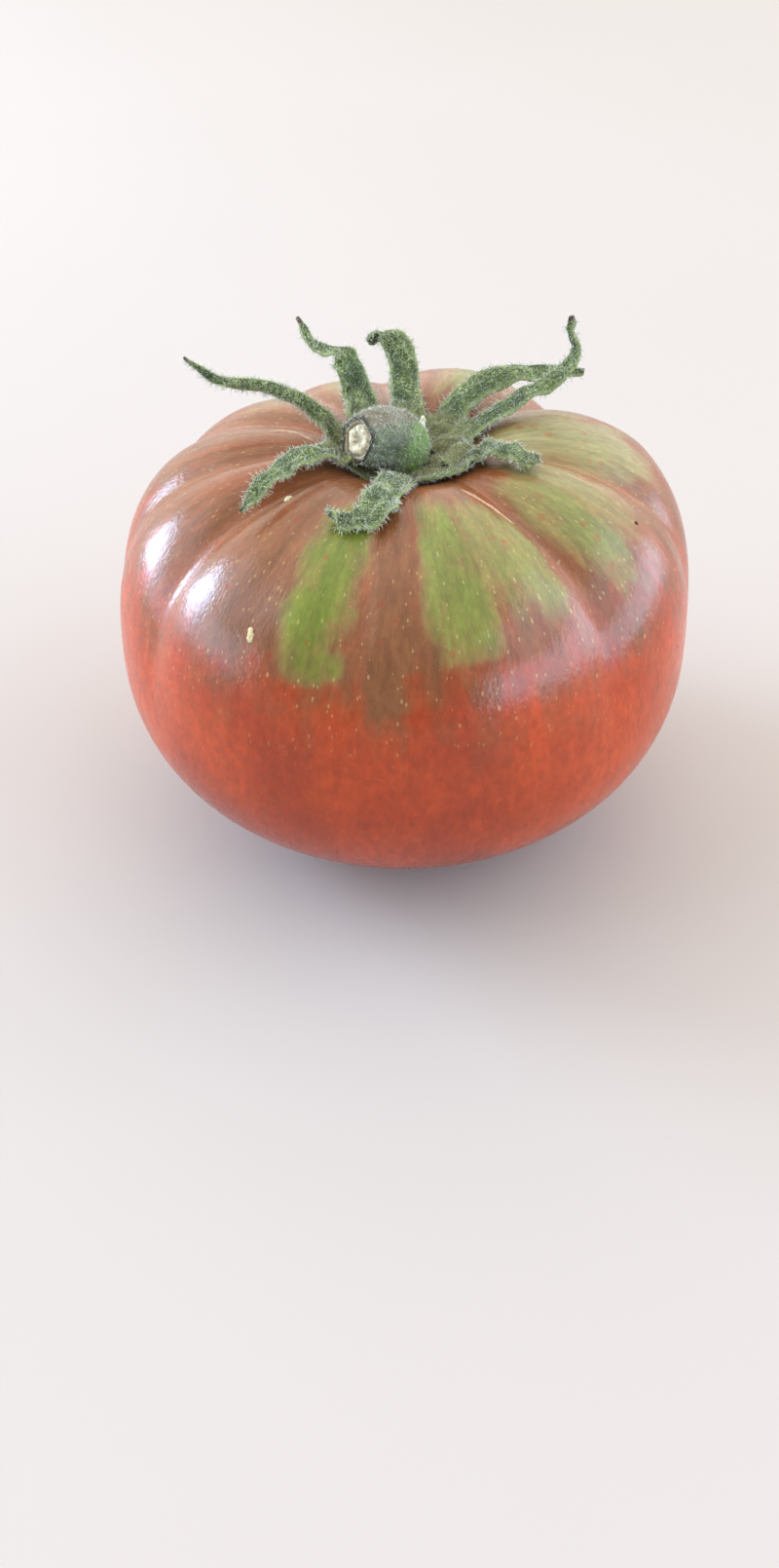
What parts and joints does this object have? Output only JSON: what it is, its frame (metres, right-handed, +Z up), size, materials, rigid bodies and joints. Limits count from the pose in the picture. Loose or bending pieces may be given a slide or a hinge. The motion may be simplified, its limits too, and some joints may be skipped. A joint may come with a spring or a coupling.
{
  "type": "tomato",
  "caption": "Ribbed beefsteak tomato with a slanted stem stub, a lobed calyx cup and curled hairy sepals, resting on a small flat spot",
  "frame": {"origin": "centre of the base of the object's bounding box, on the small flat spot the fruit rests on", "axes": "+Z up, from the flat spot to the stem; the front, the side with the broad green patches, faces -Y; +X to the right seen from the front"},
  "size_m": [0.0853, 0.0851, 0.0741],
  "materials": {
    "skin": "thin glossy skin, orange red below, dusky brown and green on the shoulders",
    "leaf": "matte grey green, covered in fine pale hairs",
    "stalk": "matte dark green, hairy, with a pale cut end"
  },
  "bodies": {
    "root": {"fruit": "skin", "stem": "stalk", "calyx_cup": "leaf", "sepal_front": "leaf", "sepal_front_left": "leaf", "sepal_left": "leaf", "sepal_back_left": "leaf", "sepal_back": "leaf", "sepal_back_right": "leaf", "sepal_right": "leaf", "sepal_front_right": "leaf"}
  },
  "joints": []
}
